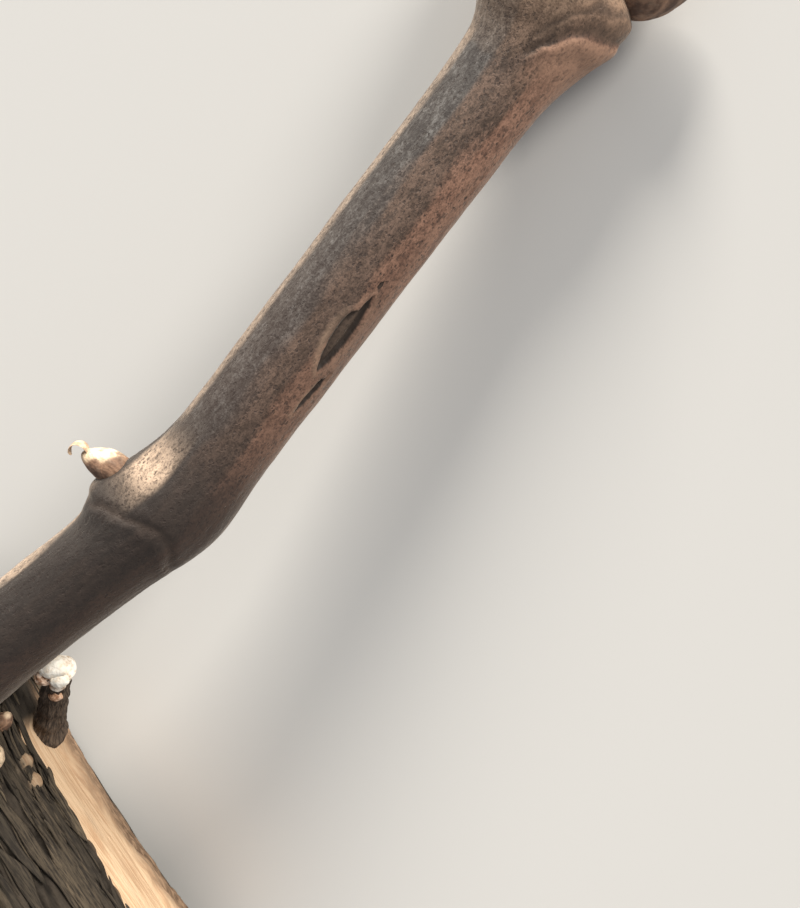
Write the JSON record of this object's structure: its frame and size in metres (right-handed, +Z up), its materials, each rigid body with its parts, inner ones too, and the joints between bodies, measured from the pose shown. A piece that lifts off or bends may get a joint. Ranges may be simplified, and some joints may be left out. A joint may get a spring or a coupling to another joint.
{
  "type": "cut grapevine cane on a piece of old wood",
  "caption": "Dormant grapevine wood as pruned: a short shaggy arm of old wood and the one-year cane growing from its head, with swollen nodes and winter buds.",
  "frame": {"origin": "on the surface that the piece lies on, under the middle of its plan", "axes": "Z up from that surface; Y roughly the way the cane grows, along the longest side; X across, towards the cane's side"},
  "size_m": [0.0972, 0.1306, 0.029],
  "materials": {
    "old_wood": "rough fissured old bark, dark grey-brown, with a bare tan strip of weathered wood and greyish sawn ends",
    "cane_bark": "smooth one-year bark, grey-brown on the upper side and orange-brown below, densely speckled with small dark pores",
    "bud_scales": "dry brown bud scales with pale woolly edges",
    "loose_bark": "thin fibrous strips of dead bark, frayed at the edges"
  },
  "bodies": {
    "root": {"arm": "old_wood", "cane": "cane_bark", "basal_stub": "cane_bark", "lower_bud": "bud_scales", "upper_bud": "bud_scales", "head_bud_1": "bud_scales", "head_bud_2": "bud_scales", "head_bud_3": "bud_scales", "bark_strip_1": "loose_bark", "bark_strip_2": "loose_bark", "bark_strip_3": "loose_bark", "bark_strip_4": "loose_bark", "bark_strip_5": "loose_bark", "bark_strip_6": "loose_bark"}
  },
  "joints": []
}
